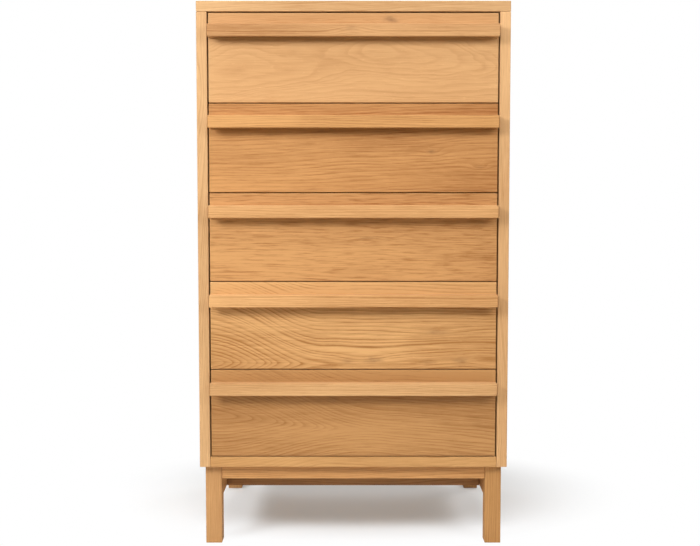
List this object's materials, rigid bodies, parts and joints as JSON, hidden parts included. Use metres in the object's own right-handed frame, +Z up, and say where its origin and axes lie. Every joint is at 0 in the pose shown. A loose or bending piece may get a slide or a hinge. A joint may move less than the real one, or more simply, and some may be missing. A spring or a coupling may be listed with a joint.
{
  "type": "tall chest of drawers",
  "caption": "Tall oak chest of drawers: board carcass on a low legged base, inset drawers that slide out, and full-width bar handles grooved for the fingers.",
  "frame": {"origin": "on the floor, under the middle of the whole chest's bounding box", "axes": "+Z up, the drawers face and slide towards -Y, +X to the viewer's right"},
  "size_m": [0.65, 0.5, 1.145],
  "materials": {
    "carcass_oak": "clear matt oil on solid oak",
    "drawer_front_oak": "clear matt oil on solid oak",
    "handle_oak": "clear matt oil on solid oak",
    "base_oak": "clear matt oil on solid oak",
    "runner_oak": "waxed oak",
    "drawer_side_oak": "bare planed oak",
    "drawer_bottom_ply": "sealed birch plywood",
    "back_panel_ply": "oak-faced plywood, matt",
    "foot_nylon": "dark matt nylon"
  },
  "bodies": {
    "carcass": {"top_panel": "carcass_oak", "left_side_panel": "carcass_oak", "right_side_panel": "carcass_oak", "bottom_panel": "carcass_oak", "back_panel": "back_panel_ply", "front_left_leg": "base_oak", "front_right_leg": "base_oak", "back_left_leg": "base_oak", "back_right_leg": "base_oak", "front_apron": "base_oak", "back_apron": "base_oak", "left_side_rail": "base_oak", "right_side_rail": "base_oak", "front_cross_rail": "base_oak", "back_cross_rail": "base_oak", "front_left_foot_glide": "foot_nylon", "front_right_foot_glide": "foot_nylon", "back_left_foot_glide": "foot_nylon", "back_right_foot_glide": "foot_nylon", "runner_1_left": "runner_oak", "runner_1_right": "runner_oak", "runner_2_left": "runner_oak", "runner_2_right": "runner_oak", "runner_3_left": "runner_oak", "runner_3_right": "runner_oak", "runner_4_left": "runner_oak", "runner_4_right": "runner_oak", "runner_5_left": "runner_oak", "runner_5_right": "runner_oak"},
    "drawer_1": {"drawer_1_front": "drawer_front_oak", "drawer_1_handle": "handle_oak", "drawer_1_left_side": "drawer_side_oak", "drawer_1_right_side": "drawer_side_oak", "drawer_1_back": "drawer_side_oak", "drawer_1_bottom": "drawer_bottom_ply"},
    "drawer_2": {"drawer_2_front": "drawer_front_oak", "drawer_2_handle": "handle_oak", "drawer_2_left_side": "drawer_side_oak", "drawer_2_right_side": "drawer_side_oak", "drawer_2_back": "drawer_side_oak", "drawer_2_bottom": "drawer_bottom_ply"},
    "drawer_3": {"drawer_3_front": "drawer_front_oak", "drawer_3_handle": "handle_oak", "drawer_3_left_side": "drawer_side_oak", "drawer_3_right_side": "drawer_side_oak", "drawer_3_back": "drawer_side_oak", "drawer_3_bottom": "drawer_bottom_ply"},
    "drawer_4": {"drawer_4_front": "drawer_front_oak", "drawer_4_handle": "handle_oak", "drawer_4_left_side": "drawer_side_oak", "drawer_4_right_side": "drawer_side_oak", "drawer_4_back": "drawer_side_oak", "drawer_4_bottom": "drawer_bottom_ply"},
    "drawer_5": {"drawer_5_front": "drawer_front_oak", "drawer_5_handle": "handle_oak", "drawer_5_left_side": "drawer_side_oak", "drawer_5_right_side": "drawer_side_oak", "drawer_5_back": "drawer_side_oak", "drawer_5_bottom": "drawer_bottom_ply"}
  },
  "joints": [
    {"name": "drawer_1_slide", "type": "slide", "parent": "carcass", "child": "drawer_1", "axis": [0, -1, 0], "range_m": [0, 0.3]},
    {"name": "drawer_2_slide", "type": "slide", "parent": "carcass", "child": "drawer_2", "axis": [0, -1, 0], "range_m": [0, 0.3]},
    {"name": "drawer_3_slide", "type": "slide", "parent": "carcass", "child": "drawer_3", "axis": [0, -1, 0], "range_m": [0, 0.3]},
    {"name": "drawer_4_slide", "type": "slide", "parent": "carcass", "child": "drawer_4", "axis": [0, -1, 0], "range_m": [0, 0.3]},
    {"name": "drawer_5_slide", "type": "slide", "parent": "carcass", "child": "drawer_5", "axis": [0, -1, 0], "range_m": [0, 0.3]}
  ]
}
